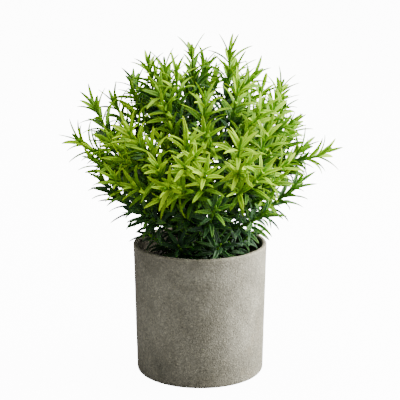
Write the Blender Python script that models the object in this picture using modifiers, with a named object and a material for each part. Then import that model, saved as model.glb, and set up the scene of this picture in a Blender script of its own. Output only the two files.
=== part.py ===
"""Artificial tabletop tree: a small faux bush of wired stems and plug-on leaf sprigs in a grey pulp pot.

Metres, +Z up, origin at the centre of the pot's flat base.
"""
import math

import bmesh
import bpy
import numpy as np
from mathutils import Matrix, Vector

MM = 0.001

# pot
POT_H = 88.0 * MM
POT_R_TOP = 44.0 * MM
POT_R_FOOT = 42.07 * MM
POT_WALL = 3.0 * MM
POT_FLOOR = 3.5 * MM
FOOT_ROUND = 2.6 * MM
RIM_ROUND = 1.1 * MM
POT_SIDES = 64

# filling
GAP = 0.3 * MM
FOAM_TOP = 70.0 * MM
SOIL_TOP = 74.6 * MM
FILL_SIDES = 40
PICK_R = 2.6 * MM
PICK_DEPTH = 42.0 * MM
COLLAR_R = 7.6 * MM
COLLAR_LOW = 75.2 * MM
COLLAR_TOP = 79.0 * MM

# stems
ROOT_R = 5.2 * MM
ROOT_Z = 80.2 * MM
FORK_R0 = 1.35 * MM
FORK_R1 = 0.95 * MM
PEG_R = 0.55 * MM
PEG_LEN = 2.6 * MM
SOCKET_R = 1.0 * MM
SOCKET_DEPTH = 3.2 * MM
SPRIG_R0 = 1.55 * MM
SPRIG_R1 = 0.75 * MM
SIDES = 6

# leaves
LEAF_LEN = 17.5 * MM
LEAF_W = 4.0 * MM
LEAF_T = 0.75 * MM
WHORL_H = 1.3 * MM
WHORL_STEP = 10.0 * MM

# main stems: name, azimuth in degrees, top point in mm, outward travel in degrees
FORKS = [
    ("w", 180, (-34, -3, 128), 8.0),
    ("nw", 135, (-22, 20, 142), 10.0),
    ("n", 90, (-1, 32, 138), 12.0),
    ("ne", 45, (22, 19, 140), 10.0),
    ("e", 0, (35, -3, 132), 8.0),
    ("se", 315, (19, -21, 130), 9.0),
    ("s", 270, (-3, -29, 126), 9.0),
    ("sw", 225, (-21, -20, 132), 9.0),
]
INWARD = 3.0

# leaf sprigs: name, main stem, place along it, tip in mm, how far the tip turns forwards
SPRIGS = [
    ("w_1", "w", 1.00, (-78, -12, 159), 0.0),
    ("w_2", "w", 0.80, (-69, 10, 177), 0.0),
    ("w_3", "w", 0.55, (-61, -17, 132), 0.0),
    ("w_4", "w", 0.66, (-46, 4, 160), 0.0),
    ("w_5", "w", 0.90, (-67, -15, 146), 0.0),
    ("nw_1", "nw", 0.80, (-57, 33, 175), 0.0),
    ("nw_2", "nw", 1.00, (-44, 38, 188), 0.0),
    ("nw_3", "nw", 0.90, (-34, 22, 202), 0.0),
    ("nw_4", "nw", 0.70, (-23, 14, 203), 0.0),
    ("nw_5", "nw", 0.50, (-66, 46, 135), 0.0),
    ("n_1", "n", 0.80, (-5, 17, 211), 0.0),
    ("n_2", "n", 1.00, (-12, 50, 186), 0.0),
    ("n_3", "n", 0.85, (15, 66, 167), 0.0),
    ("n_4", "n", 0.55, (-9, 74, 129), 0.0),
    ("n_5", "n", 0.68, (4, 32, 197), 0.0),
    ("ne_1", "ne", 1.00, (24, 32, 199), 0.0),
    ("ne_2", "ne", 0.85, (54, 35, 185), 0.0),
    ("ne_3", "ne", 0.70, (41, 22, 186), 0.0),
    ("ne_4", "ne", 0.50, (69, 40, 142), 0.0),
    ("ne_5", "ne", 0.92, (34, 46, 176), 0.0),
    ("e_1", "e", 1.00, (81, 0, 148), 0.0),
    ("e_2", "e", 0.85, (48, -7, 180), 0.0),
    ("e_3", "e", 0.60, (19, 3, 212), 0.0),
    ("e_4", "e", 0.52, (62, -17, 131), 0.0),
    ("e_5", "e", 0.72, (60, 8, 164), 0.0),
    ("se_1", "se", 1.00, (25, -45, 163), 0.0),
    ("se_2", "se", 0.80, (24, -20, 194), 0.0),
    ("se_3", "se", 0.48, (40, -43, 118), 0.0),
    ("se_4", "se", 0.65, (42, -32, 167), 0.0),
    ("se_5", "se", 0.90, (39, -48, 146), 0.2),
    ("s_1", "s", 0.82, (-8, -43, 166), 0.0),
    ("s_2", "s", 1.00, (-20, -58, 138), 0.9),
    ("s_3", "s", 0.70, (3, -23, 187), 0.0),
    ("s_4", "s", 0.52, (9, -55, 124), 0.3),
    ("s_5", "s", 0.92, (3, -60, 147), 0.8),
    ("sw_1", "sw", 1.00, (-45, -33, 169), 0.0),
    ("sw_2", "sw", 0.75, (-15, -13, 202), 0.0),
    ("sw_3", "sw", 0.48, (-33, -41, 117), 0.0),
    ("sw_4", "sw", 0.85, (-30, -39, 159), 0.0),
    ("sw_5", "sw", 0.66, (-53, -38, 139), 0.2),
]

# short sprigs at the foot: name, azimuth in degrees, tip radius and height in mm
FOOT_SPRIGS = [
    ("foot_1", 202, 35, 96),
    ("foot_2", 247, 34, 93),
    ("foot_3", 292, 34, 94),
    ("foot_4", 337, 36, 97),
    ("foot_5", 67, 35, 98),
]


# ---------------------------------------------------------------- plain vectors
def vec(*p):
    return np.array(p, dtype=float)


def unit(v):
    return v / max(float(np.linalg.norm(v)), 1e-12)


def bezier(p0, p1, p2, p3, n):
    t = np.linspace(0.0, 1.0, n)[:, None]
    return (1 - t) ** 3 * p0 + 3 * t * (1 - t) ** 2 * p1 + 3 * t * t * (1 - t) * p2 + t**3 * p3


def even(points, n):
    """The same line as n points at equal steps of length."""
    d = np.concatenate([[0.0], np.cumsum(np.linalg.norm(np.diff(points, axis=0), axis=1))])
    s = np.linspace(0.0, d[-1], n)
    return np.stack([np.interp(s, d, points[:, k]) for k in range(3)], axis=1)


def length(points):
    return float(np.linalg.norm(np.diff(points, axis=0), axis=1).sum())


def at(points, s):
    """Place and direction at length s along a line."""
    d = np.concatenate([[0.0], np.cumsum(np.linalg.norm(np.diff(points, axis=0), axis=1))])
    s = min(max(s, 0.0), float(d[-1]))
    p = vec(*[np.interp(s, d, points[:, k]) for k in range(3)])
    a = vec(*[np.interp(max(s - 0.0015, 0.0), d, points[:, k]) for k in range(3)])
    b = vec(*[np.interp(min(s + 0.0015, d[-1]), d, points[:, k]) for k in range(3)])
    return p, unit(b - a)


def cross_axis(t, side):
    """An axis square to t, as near as can be to side."""
    w = side - t * float(np.dot(side, t))
    if np.linalg.norm(w) < 1e-6:
        w = np.cross(t, vec(0.3, 0.9, 0.1))
    return unit(w)


# ---------------------------------------------------------------- the plant's lines
def fork_line(azimuth, top):
    a = math.radians(azimuth)
    out = vec(math.cos(a), math.sin(a), 0.0)
    p0 = out * ROOT_R + vec(0, 0, ROOT_Z)
    p3 = vec(*top) * MM
    reach = np.linalg.norm(p3 - p0)
    d0 = unit(out * 0.62 + vec(0, 0, 1.0))
    d1 = unit(unit(p3 - p0) * 0.9 + vec(0, 0, 0.35))
    return even(bezier(p0, p0 + d0 * reach * 0.36, p3 - d1 * reach * 0.3, p3, 60), 60)


def sprig_line(start, direction, tip, rise, forwards):
    reach = np.linalg.norm(tip - start)
    d1 = unit(unit(tip - start) + vec(0, -forwards, rise * (1.0 - forwards)))
    return even(bezier(start, start + direction * reach * 0.34, tip - d1 * reach * 0.3, tip, 60), 60)


def plant():
    """Every main stem and sprig as a line: name, body, kind, points, pegs."""
    forks, lines = {}, []
    for name, azimuth, top, _ in FORKS:
        forks[name] = fork_line(azimuth, top)
    for name, azimuth, top, _ in FORKS:
        line = forks[name]
        total = length(line)
        pegs = []
        for sprig, owner, place, tip, forwards in SPRIGS:
            if owner != name:
                continue
            tip = vec(*tip) * MM
            p, t = at(line, total * place)
            if place >= 0.999:
                direction = t
                start = p + t * GAP
                pegs.append((sprig, place, p, t))
            else:
                aim = unit(tip - p)
                side = cross_axis(t, aim)
                direction = unit(aim * 0.75 + side * 0.75)
                foot = p + side * (FORK_R0 + 0.9 * MM)
                start = foot + direction * 0.9 * MM
                pegs.append((sprig, place, p, direction))
            lines.append(("sprig_" + sprig, name, "sprig", sprig_line(start, direction, tip, 0.35, forwards), []))
        lines.append(("fork_" + name, name, "fork", line, pegs))
    for sprig, azimuth, radius, height in FOOT_SPRIGS:
        a = math.radians(azimuth)
        out = vec(math.cos(a), math.sin(a), 0.0)
        start = out * (COLLAR_R + 0.5 * MM) + vec(0, 0, (COLLAR_LOW + COLLAR_TOP) / 2)
        tip = out * radius * MM + vec(0, 0, height * MM)
        line = even(bezier(start, start + out * 7 * MM, tip - unit(out + vec(0, 0, 0.9)) * 9 * MM, tip, 60), 60)
        lines.append(("sprig_" + sprig, "bush", "foot", line, []))
    return forks, lines


# ---------------------------------------------------------------- clearance while the stems bend
class Space:
    """What is already placed, as small balls, so that no leaf meets another piece at rest or while a stem is bent."""

    def __init__(self):
        self.hinge = {}
        self.names, self.bodies, self.points, self.radii, self.along = [], [], [], [], []
        self.stack = None
        for name, azimuth, _, travel in FORKS:
            a = math.radians(azimuth)
            pivot = vec(math.cos(a) * ROOT_R, math.sin(a) * ROOT_R, ROOT_Z)
            axis = vec(-math.sin(a), math.cos(a), 0.0)
            self.hinge[name] = (pivot, axis, np.radians(np.linspace(-INWARD, travel, 7)))

    def turned(self, body, pts, angle):
        if body not in self.hinge or angle == 0.0:
            return pts
        pivot, k, _ = self.hinge[body]
        v = pts - pivot
        c, s = math.cos(angle), math.sin(angle)
        return pivot + v * c + np.cross(k, v) * s + np.outer(v @ k, k) * (1 - c)

    def add(self, name, body, pts, radii, along):
        self.names.append(np.array([name] * len(pts)))
        self.bodies.append(np.array([body] * len(pts)))
        self.points.append(pts)
        self.radii.append(radii)
        self.along.append(along)
        if body in self.hinge:
            sweep = np.stack([self.turned(body, pts, a) for a in self.hinge[body][2]])
        else:
            sweep = np.stack([pts] * 7)
        if self.stack is None:
            self.stack = sweep
        else:
            self.stack = np.concatenate([self.stack, sweep], axis=1)

    def freeze(self):
        self.N = np.concatenate(self.names)
        self.B = np.concatenate(self.bodies)
        self.P = np.concatenate(self.points)
        self.R = np.concatenate(self.radii)
        self.A = np.concatenate(self.along)

    @staticmethod
    def near(a, ra, b, rb):
        if not len(b):
            return 1.0
        d = np.linalg.norm(a[:, None, :] - b[None, :, :], axis=2) - ra[:, None] - rb[None, :]
        return float(d.min())

    def pot_room(self, pts, radii):
        """Least room to the pot and the soil."""
        r = np.hypot(pts[:, 0], pts[:, 1])
        inner, outer = POT_R_TOP - POT_WALL, POT_R_TOP
        side = np.maximum(inner - r, r - outer)
        above = pts[:, 2] - POT_H
        wall = np.where(above > 0, np.hypot(above, np.maximum(side, 0) * (side < 0) * 0 + np.maximum(side, 0)), side)
        soil = np.where(r < inner + 0.002, pts[:, 2] - SOIL_TOP, 1.0)
        return float((np.minimum(wall, soil) - radii).min())

    def room(self, name, body, pts, radii, root):
        """Least room from these balls to all others. root is the place along its own line that they spring from."""
        self.freeze()
        other = self.B != body
        mates = (self.B == body) & (self.N != name)
        own = (self.N == name) & (np.abs(self.A - root) > 4.2 * MM)
        least = self.pot_room(pts, radii)
        least = min(least, self.near(pts, radii, self.P[mates], self.R[mates]))
        far = pts[2:] if len(pts) > 2 else pts
        least = min(least, self.near(far, radii[-len(far):], self.P[own], self.R[own]))
        if least < GAP:
            return least
        Ro = self.R[other]
        for k in range(7):
            least = min(least, self.near(pts, radii, self.stack[k][other], Ro))
        if body in self.hinge:
            angles = self.hinge[body][2]
            for k, angle in enumerate(angles):
                moved = self.turned(body, pts, angle)
                least = min(least, self.pot_room(moved, radii))
                least = min(least, self.near(moved, radii, self.P[other], Ro))
                if k in (0, 6):
                    least = min(least, self.near(moved, radii, self.stack[k][other], Ro))
                if least < GAP:
                    return least
        return least


def leaf_spine(p, t, n, size, lift, curl):
    """Root, middle and tip of one leaf that springs from p, with stem direction t and outward normal n."""
    d0 = unit(t * math.cos(lift) + n * math.sin(lift))
    d1 = unit(t * math.cos(lift + curl) + n * math.sin(lift + curl))
    mid = p + d0 * size * 0.5
    return mid, mid + d1 * size * 0.5, d0, d1


def leaf_balls(p, mid, tip, width):
    pts, rad = [], []
    for k in range(6):
        f = k / 5.0
        q = p + (mid - p) * (f * 2) if f <= 0.5 else mid + (tip - mid) * (f * 2 - 1)
        pts.append(q)
        rad.append((0.35 + 0.65 * (1 - abs(f * 2 - 1) ** 1.5)) * width * 0.5)
    return np.array(pts), np.array(rad)


# ---------------------------------------------------------------- modelling tools
def ring(centre, t, side, radius, sides=SIDES, turn=0.0):
    u = cross_axis(t, side)
    v = np.cross(t, u)
    return [
        centre + (u * math.cos(turn + 2 * math.pi * k / sides) + v * math.sin(turn + 2 * math.pi * k / sides)) * radius
        for k in range(sides)
    ]


def loft(bm, rings):
    """Extrude one circle through every ring in turn. Returns the side faces by section."""
    sides = len(rings[0])
    made = bmesh.ops.create_circle(bm, cap_ends=True, segments=sides, radius=1.0)
    cap = made["verts"][0].link_faces[0]
    verts = list(cap.verts)
    for v, p in zip(verts, rings[0]):
        v.co = p
    first = verts
    sections = []
    for target in rings[1:]:
        low = verts
        out = bmesh.ops.extrude_discrete_faces(bm, faces=[cap])
        cap = out["faces"][0]
        high = []
        for v in low:
            up = [e.other_vert(v) for e in v.link_edges if e.other_vert(v) in set(cap.verts)]
            high.append(up[0])
        for v, p in zip(high, target):
            v.co = p
        faces = []
        for k in range(sides):
            quad = {low[k], low[(k + 1) % sides], high[k], high[(k + 1) % sides]}
            faces.append(next(f for f in low[k].link_faces if set(f.verts) == quad))
        sections.append((faces, low, high))
        verts = high
    bmesh.ops.holes_fill(bm, edges=[e for e in bm.edges if e.is_boundary])
    return sections


def grow_leaf(bm, face, t, n, mid, tip, d0, d1, width, thick):
    """Draw one side face of a stem out to a wide middle and close it to a point."""
    w = unit(np.cross(t, n))
    centre = vec(*face.calc_center_median())
    b = unit(np.cross(d0, w))
    if float(np.dot(b, t)) < 0:
        b = -b
    cap = bmesh.ops.extrude_discrete_faces(bm, faces=[face])["faces"][0]
    for v in cap.verts:
        o = vec(*v.co) - centre
        sw = 1.0 if np.dot(o, w) > 0 else -1.0
        sb = 1.0 if np.dot(o, t) > 0 else -1.0
        v.co = mid + w * sw * width * 0.5 + b * sb * thick * 0.5
    cap = bmesh.ops.extrude_discrete_faces(bm, faces=[cap])["faces"][0]
    bmesh.ops.pointmerge(bm, verts=list(cap.verts), merge_co=tip)


def material(name, colour, roughness, metallic=0.0):
    m = bpy.data.materials.new(name)
    m.use_nodes = True
    shader = next(n for n in m.node_tree.nodes if n.type == "BSDF_PRINCIPLED")
    shader.inputs["Base Color"].default_value = (*colour, 1.0)
    shader.inputs["Roughness"].default_value = roughness
    shader.inputs["Metallic"].default_value = metallic
    m.diffuse_color = (*colour, 1.0)
    return m


def joint(name, place, turn=0.0):
    """An empty on a joint's axis, which carries the pieces that move with it."""
    empty = bpy.data.objects.new(name, None)
    empty.empty_display_type = "ARROWS"
    empty.empty_display_size = 6.0 * MM
    empty.location = place
    empty.rotation_euler = (0.0, 0.0, turn)
    PARTS.objects.link(empty)
    return empty


def hang(obj, empty, place, turn=0.0):
    """Give a piece its parent and leave it where it is."""
    obj.parent = empty
    obj.matrix_parent_inverse = (Matrix.Translation(Vector(place)) @ Matrix.Rotation(turn, 4, "Z")).inverted()


def finish(bm, name, mat):
    bmesh.ops.recalc_face_normals(bm, faces=bm.faces)
    mesh = bpy.data.meshes.new(name)
    bm.to_mesh(mesh)
    bm.free()
    mesh.shade_smooth()
    mesh.set_sharp_from_angle(angle=math.radians(50.0))
    obj = bpy.data.objects.new(name, mesh)
    mesh.materials.append(mat)
    PARTS.objects.link(obj)
    return obj


def lathe(name, profile, sides, mat, closed=False):
    """A turned solid: a profile of radius and height pairs, spun about Z. It runs down its outer side."""
    mesh = bpy.data.meshes.new(name)
    bm = bmesh.new()
    line = [bm.verts.new((r, 0.0, z)) for r, z in profile]
    for p, q in zip(line, line[1:] + line[:1] if closed else line[1:]):
        bm.edges.new((p, q))
    bm.to_mesh(mesh)
    bm.free()
    mesh.materials.append(mat)
    obj = bpy.data.objects.new(name, mesh)
    PARTS.objects.link(obj)
    screw = obj.modifiers.new("turn", "SCREW")
    screw.axis = "Z"
    screw.angle = 2 * math.pi
    screw.steps = sides
    screw.render_steps = sides
    screw.use_merge_vertices = True
    screw.merge_threshold = 0.00001
    screw.use_smooth_shade = True
    return obj


def corner(r0, z0, radius, start, stop, steps):
    """A rounded edge as points on an arc about (r0, z0)."""
    return [
        (r0 + radius * math.cos(math.radians(a)), z0 + radius * math.sin(math.radians(a)))
        for a in np.linspace(start, stop, steps)
    ]


# ---------------------------------------------------------------- pot and filling
def wall_r(z):
    return POT_R_FOOT + (POT_R_TOP - POT_R_FOOT) * z / POT_H


def build_pot():
    profile = [(0.0, POT_FLOOR), (wall_r(POT_FLOOR) - POT_WALL - 2.0 * MM, POT_FLOOR)]
    profile += corner(wall_r(6 * MM) - POT_WALL - 2.0 * MM, POT_FLOOR + 2.0 * MM, 2.0 * MM, -60, 0, 3)
    profile += [(wall_r(z * MM) - POT_WALL, z * MM) for z in (44.0,)]
    profile += corner(wall_r(POT_H) - POT_WALL + RIM_ROUND, POT_H - RIM_ROUND, RIM_ROUND, 180, 90, 3)
    profile += corner(wall_r(POT_H) - RIM_ROUND, POT_H - RIM_ROUND, RIM_ROUND, 90, 0, 3)
    profile += [(wall_r(z * MM), z * MM) for z in (44.0,)]
    profile += corner(wall_r(FOOT_ROUND) - FOOT_ROUND, FOOT_ROUND, FOOT_ROUND, 0, -90, 4)
    profile += [(0.0, 0.0)]
    return lathe("pot", profile, POT_SIDES, material("pot_pulp", (0.27, 0.25, 0.21), 0.92))


def build_foam():
    top = wall_r(FOAM_TOP) - POT_WALL - 0.4 * MM
    low = wall_r(POT_FLOOR + 3 * MM) - POT_WALL - 0.4 * MM
    hole = PICK_R + GAP
    deep = FOAM_TOP - PICK_DEPTH
    profile = [
        (0.0, deep - 4.8 * MM),
        (hole, deep + 0.4 * MM),
        (hole, FOAM_TOP),
        (top, FOAM_TOP),
        (low, POT_FLOOR + 3.0 * MM),
        (low - 3.0 * MM, POT_FLOOR + GAP),
        (0.0, POT_FLOOR + GAP),
    ]
    return lathe("foam_block", profile, FILL_SIDES, material("foam", (0.42, 0.45, 0.34), 0.95))


def build_soil():
    out = wall_r(FOAM_TOP) - POT_WALL - 0.4 * MM
    hole = PICK_R + 2.0 * MM
    profile = [
        (hole, SOIL_TOP - 0.5 * MM),
        (hole + 1.0 * MM, SOIL_TOP),
        (out - 1.2 * MM, SOIL_TOP),
        (out, SOIL_TOP - 0.5 * MM),
        (out, FOAM_TOP + GAP),
        (hole, FOAM_TOP + GAP),
    ]
    return lathe("soil_layer", profile, FILL_SIDES, material("soil", (0.035, 0.028, 0.022), 0.95), closed=True)


def build_stock():
    tip = FOAM_TOP - PICK_DEPTH
    profile = [
        (0.0, COLLAR_TOP + 4.0 * MM),
        (1.2 * MM, COLLAR_TOP + 3.6 * MM),
        (2.0 * MM, COLLAR_TOP + 2.6 * MM),
        (3.0 * MM, COLLAR_TOP),
        (COLLAR_R - 0.8 * MM, COLLAR_TOP),
        (COLLAR_R, COLLAR_TOP - 0.8 * MM),
        (COLLAR_R, COLLAR_LOW + 0.6 * MM),
        (COLLAR_R - 0.6 * MM, COLLAR_LOW),
        (PICK_R + 0.8 * MM, COLLAR_LOW - 0.8 * MM),
        (PICK_R, COLLAR_LOW - 3.0 * MM),
        (PICK_R, tip + 0.8 * MM),
        (0.0, tip - 4.0 * MM),
    ]
    return lathe("bush_stock", profile, 24, material("stock_plastic", (0.045, 0.10, 0.035), 0.5))


# ---------------------------------------------------------------- stems and sprigs
def shades(k, kind):
    """Each moulding's own green: stems darker, sprigs between mid green and yellow green."""
    f = ((k * 7) % 11) / 10.0
    if kind == "fork":
        return (0.035 + 0.012 * f, 0.10 + 0.02 * f, 0.04)
    if kind == "foot":
        return (0.05 + 0.01 * f, 0.16 + 0.02 * f, 0.06)
    return (0.10 + 0.09 * f, 0.26 + 0.09 * f, 0.045 + 0.015 * f)


def whorls(kind, total):
    """Places of the leaf whorls along a line, from the tip down: place, leaf size, lift and curl in radians."""
    out = []
    if kind == "sprig":
        s = total - 1.6 * MM
        out.append((s, 0.80, math.radians(22), math.radians(10)))
        s -= 4.6 * MM
        out.append((s, 1.0, math.radians(44), math.radians(22)))
        s -= WHORL_STEP
        while s > 7.0 * MM:
            out.append((s, 1.05, math.radians(54), math.radians(26)))
            s -= WHORL_STEP
    elif kind == "fork":
        s = total * 0.74
        while s > total * 0.25:
            out.append((s, 0.85, math.radians(52), math.radians(20)))
            s -= 13.0 * MM
    else:
        s = total - 1.5 * MM
        out.append((s, 0.65, math.radians(28), math.radians(12)))
        out.append((s - 6.0 * MM, 0.75, math.radians(48), math.radians(20)))
        out.append((s - 13.0 * MM, 0.7, math.radians(50), math.radians(15)))
    return out


def radius_at(kind, f):
    if kind == "fork":
        return FORK_R0 + (FORK_R1 - FORK_R0) * f
    if kind == "foot":
        return 1.1 * MM + (0.7 - 1.1) * MM * f
    return SPRIG_R0 + (SPRIG_R1 - SPRIG_R0) * min(1.0, f * 1.6)


def plan_leaves(lines):
    """Choose every leaf that has room, from the tips down."""
    space = Space()
    for name, body, kind, line, _ in lines:
        total = length(line)
        count = max(8, int(total / (1.6 * MM)))
        pts = even(line, count)
        along = np.linspace(0, total, count)
        radii = np.array([radius_at(kind, s / total) for s in along])
        space.add(name, body, pts, radii, along)
    # the collar and its dome
    collar = [vec(math.cos(a) * COLLAR_R * 0.72, math.sin(a) * COLLAR_R * 0.72, COLLAR_TOP - 2.2 * MM)
              for a in np.linspace(0, 2 * math.pi, 12, endpoint=False)]
    space.add("bush_stock", "bush", np.array(collar), np.full(12, 2.1 * MM), np.zeros(12))
    plans = {line[0]: [] for line in lines}
    tables = {}
    for index, (name, body, kind, line, pegs) in enumerate(lines):
        tables[name] = [(s, i, size, lift, curl) for i, (s, size, lift, curl) in enumerate(whorls(kind, length(line)))]
    deepest = max(len(v) for v in tables.values())
    dropped = 0
    for level in range(deepest):
        for index, (name, body, kind, line, pegs) in enumerate(lines):
            if level >= len(tables[name]):
                continue
            s, i, size, lift, curl = tables[name][level]
            total = length(line)
            if any(abs(s - place * total) < 4.0 * MM for _, place, _, _ in pegs if place < 0.999):
                continue
            p, t = at(line, s)
            turn = math.radians(60.0 * (i % 2) + 13.0 * (index % 5))
            u = cross_axis(t, vec(0.31, 0.17, 1.0) if abs(t[2]) < 0.9 else vec(1.0, 0.2, 0.1))
            v = np.cross(t, u)
            picked = []
            for k in range(3):
                # the leaf springs from the middle of side face 2k
                a = turn + 2 * math.pi * (2 * k + 0.5) / SIDES
                n = u * math.cos(a) + v * math.sin(a)
                root = p + n * radius_at(kind, s / total) * 0.87
                full = LEAF_LEN * size
                for shrink in (1.0, 0.8, 0.62):
                    mid, tip, d0, d1 = leaf_spine(root, t, n, full * shrink, lift, curl)
                    width = LEAF_W * (0.7 + 0.3 * shrink) * (0.8 if i == 0 else 1.0)
                    pts, rad = leaf_balls(root, mid, tip, width)
                    if space.room(name, body, pts, rad, s) >= GAP:
                        space.add(name, body, pts[2:], rad[2:], np.full(len(pts) - 2, -1.0 - len(plans[name])))
                        picked.append((2 * k, n, mid, tip, d0, d1, width))
                        break
                else:
                    dropped += 1
            if picked:
                plans[name].append((s, turn, u, p, t, picked))
    return plans, dropped


def build_line(name, kind, line, pegs, leaves, mat):
    total = length(line)
    bm = bmesh.new()
    stops = []  # place, list of leaf plans at that whorl, or None
    for plan in leaves:
        stops.append((plan[0], plan))
    stops.sort(key=lambda e: e[0])
    rings, marks = [], []
    p0, t0 = at(line, 0.0)
    side0 = cross_axis(t0, vec(0.31, 0.17, 1.0) if abs(t0[2]) < 0.9 else vec(1.0, 0.2, 0.1))
    state = {"u": side0}

    def push(s, radius, u=None, turn=0.0):
        p, t = at(line, s)
        axis = cross_axis(t, state["u"] if u is None else u)
        state["u"] = axis
        rings.append(ring(p, t, axis, radius, SIDES, turn))

    if kind == "sprig":
        p, t = at(line, 0.0)
        rings.append(ring(p + t * SOCKET_DEPTH, t, side0, SOCKET_R, SIDES))
        rings.append(ring(p, t, side0, SOCKET_R, SIDES))
        rings.append(ring(p, t, side0, SPRIG_R0, SIDES))
        push(SOCKET_DEPTH + 1.0 * MM, radius_at(kind, 0.05))
    else:
        push(0.0, radius_at(kind, 0.0) * 0.8)
        push(0.8 * MM, radius_at(kind, 0.0))
    last = 5.0 * MM
    for s, plan in stops:
        if s - last > 15.0 * MM:
            push((s + last) / 2, radius_at(kind, (s + last) / 2 / total))
        _, turn, u, p, t, picked = plan
        r = radius_at(kind, s / total)
        for k in (-0.5, 0.5):
            rings.append(ring(p + t * WHORL_H * k, t, u, r, SIDES, turn))
        marks.append((len(rings) - 2, plan))
        # keep the six corners in step with the whorl just made
        state["u"] = u * math.cos(turn) + np.cross(t, u) * math.sin(turn)
        last = s
    if kind == "fork":
        if total - last > 12.0 * MM:
            push((total + last) / 2, radius_at(kind, 0.9))
        push(total - 0.3 * MM, FORK_R1)
        push(total, FORK_R1 * 0.9)
        push(total + 0.0, PEG_R)
        p, t = at(line, total)
        rings[-1] = ring(p, t, state["u"], PEG_R, SIDES)
        rings.append(ring(p + t * PEG_LEN, t, state["u"], PEG_R * 0.9, SIDES))
    else:
        p, t = at(line, total)
        rings.append(ring(p + t * 1.0 * MM, t, state["u"], 0.25 * MM, SIDES))
    # line up each ring with the one before so that the sides don't twist
    for i in range(1, len(rings)):
        a, b = rings[i - 1], rings[i]
        shifts = [sum(float(np.sum((a[k] - b[(k + j) % SIDES]) ** 2)) for k in range(SIDES)) for j in range(SIDES)]
        j = int(np.argmin(shifts))
        rings[i] = [b[(k + j) % SIDES] for k in range(SIDES)]
    sections = loft(bm, rings)
    for start, plan in marks:
        _, turn, u, p, t, picked = plan
        faces = sections[start][0]
        for _, n, mid, tip, d0, d1, width in picked:
            face = max((f for f in faces if f.is_valid), key=lambda f: float(np.dot(vec(*f.calc_center_median()) - p, n)))
            grow_leaf(bm, face, t, n, mid, tip, d0, d1, width, LEAF_T)
    return bm


def add_pegs(bm, line, pegs):
    """Short pegs that the side sprigs plug on, drawn out of the stem's side faces."""
    for _, place, p, direction in pegs:
        if place >= 0.999:
            continue
        _, t = at(line, length(line) * place)
        side = cross_axis(t, direction)
        quads = [f for f in bm.faces if len(f.verts) == 4 and f.calc_area() > 0.8e-6]
        face = min(
            quads,
            key=lambda f: np.linalg.norm(vec(*f.calc_center_median()) - (p + side * FORK_R0 * 0.8))
            - 0.4 * MM * float(np.dot(vec(*f.normal), side)),
        )
        centre = vec(*face.calc_center_median())
        foot = p + side * (FORK_R0 + 0.9 * MM)
        cap = bmesh.ops.extrude_discrete_faces(bm, faces=[face])["faces"][0]
        w = unit(np.cross(t, side))
        b = cross_axis(direction, t)
        w = unit(np.cross(direction, b))
        if np.dot(w, np.cross(t, side)) < 0:
            w = -w
        for v in cap.verts:
            o = vec(*v.co) - centre
            sw = 1.0 if np.dot(o, np.cross(t, side)) > 0 else -1.0
            sb = 1.0 if np.dot(o, t) > 0 else -1.0
            v.co = foot + direction * 0.2 * MM + w * sw * PEG_R * 0.72 + b * sb * PEG_R * 0.72
        cap = bmesh.ops.extrude_discrete_faces(bm, faces=[cap])["faces"][0]
        for v in cap.verts:
            v.co = vec(*v.co) + direction * (PEG_LEN + 0.5 * MM)


def main():
    pot = build_pot()
    foam = build_foam()
    soil = build_soil()
    stock = build_stock()
    for piece in (foam, soil):
        piece.parent = pot
    # the whole plant lifts out along Z; each main stem bends about its own foot
    lift = joint("joint_bush_lift", (0.0, 0.0, 0.0))
    lift.parent = pot
    stock.parent = lift
    hinges = {}
    for name, azimuth, _, _ in FORKS:
        a = math.radians(azimuth)
        place = (ROOT_R * math.cos(a), ROOT_R * math.sin(a), ROOT_Z)
        hinges[name] = (joint("joint_bend_" + name, place, a), place, a)
        hinges[name][0].parent = lift
    forks, lines = plant()
    plans, dropped = plan_leaves(lines)
    leaves = 0
    for k, (name, body, kind, line, pegs) in enumerate(lines):
        mat = material(name + "_pe", shades(k, kind), 0.42 if kind != "fork" else 0.5)
        if kind == "fork":
            # a ring of its own under each peg gives the peg a face to grow from
            extra = []
            total = length(line)
            for sprig, place, p, direction in pegs:
                if place < 0.999:
                    q, t = at(line, total * place)
                    side = cross_axis(t, direction)
                    extra.append((total * place, -math.pi / SIDES, side, q, t, []))
            bm = build_line(name, kind, line, pegs, plans[name] + extra, mat)
            add_pegs(bm, line, pegs)
        else:
            bm = build_line(name, kind, line, pegs, plans[name], mat)
        leaves += sum(len(p[5]) for p in plans[name])
        obj = finish(bm, name, mat)
        if body in hinges:
            hang(obj, *hinges[body])
        else:
            obj.parent = lift
    print("leaves", leaves, "left out", dropped, "nodes", len([o for o in PARTS.objects if o.type == "MESH"]))


for old in list(bpy.data.objects):
    bpy.data.objects.remove(old, do_unlink=True)
PARTS = bpy.data.collections.new("artificial_tabletop_tree")
bpy.context.scene.collection.children.link(PARTS)
main()
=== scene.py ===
import math
import random

import bmesh
import bpy
import numpy as np
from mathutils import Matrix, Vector, noise


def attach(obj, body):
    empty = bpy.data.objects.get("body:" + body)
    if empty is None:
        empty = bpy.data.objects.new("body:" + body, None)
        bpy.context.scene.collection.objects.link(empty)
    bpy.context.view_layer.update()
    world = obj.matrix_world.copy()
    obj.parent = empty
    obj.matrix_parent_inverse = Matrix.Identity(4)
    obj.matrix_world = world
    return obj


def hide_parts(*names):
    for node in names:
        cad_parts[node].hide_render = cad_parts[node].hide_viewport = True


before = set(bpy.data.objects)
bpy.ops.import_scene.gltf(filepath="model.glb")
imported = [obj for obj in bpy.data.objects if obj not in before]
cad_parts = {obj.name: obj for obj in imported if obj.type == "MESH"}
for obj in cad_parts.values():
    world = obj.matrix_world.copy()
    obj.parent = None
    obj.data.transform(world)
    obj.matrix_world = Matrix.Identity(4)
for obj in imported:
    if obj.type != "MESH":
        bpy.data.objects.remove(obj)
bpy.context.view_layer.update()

MM = 0.001

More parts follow.
